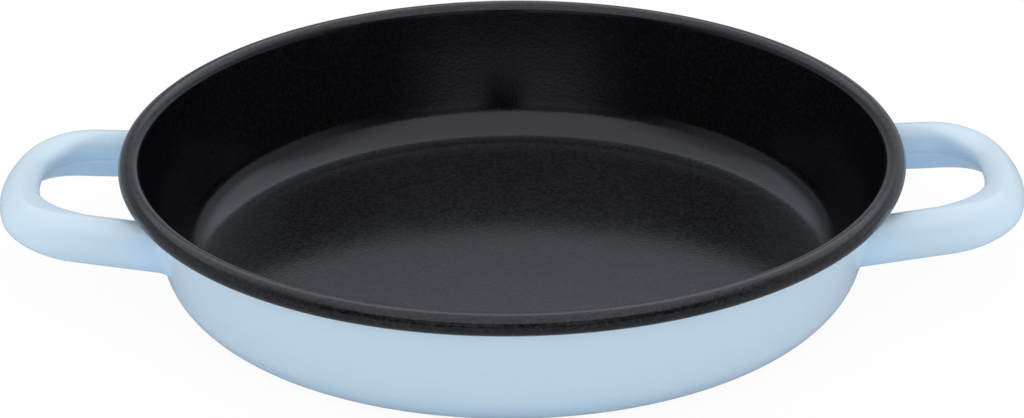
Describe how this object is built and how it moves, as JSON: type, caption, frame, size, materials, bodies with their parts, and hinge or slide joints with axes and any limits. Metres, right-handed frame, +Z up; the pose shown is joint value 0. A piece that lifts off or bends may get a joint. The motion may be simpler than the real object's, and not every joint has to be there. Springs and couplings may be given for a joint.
{
  "type": "enamel egg pan",
  "caption": "Shallow round enamelled steel pan with a flat base, leaning wall, rolled rim and a hollow loop handle on each side.",
  "frame": {"origin": "centre of the flat base, on the surface that the pan stands on", "axes": "+X along the line through both handles, +Z up out of the pan's mouth"},
  "size_m": [0.3402, 0.26, 0.047],
  "materials": {
    "dark_enamel": "gloss",
    "blue_enamel": "gloss"
  },
  "bodies": {
    "root": {"pan_body": "dark_enamel", "left_handle": "blue_enamel", "right_handle": "blue_enamel"}
  },
  "joints": []
}
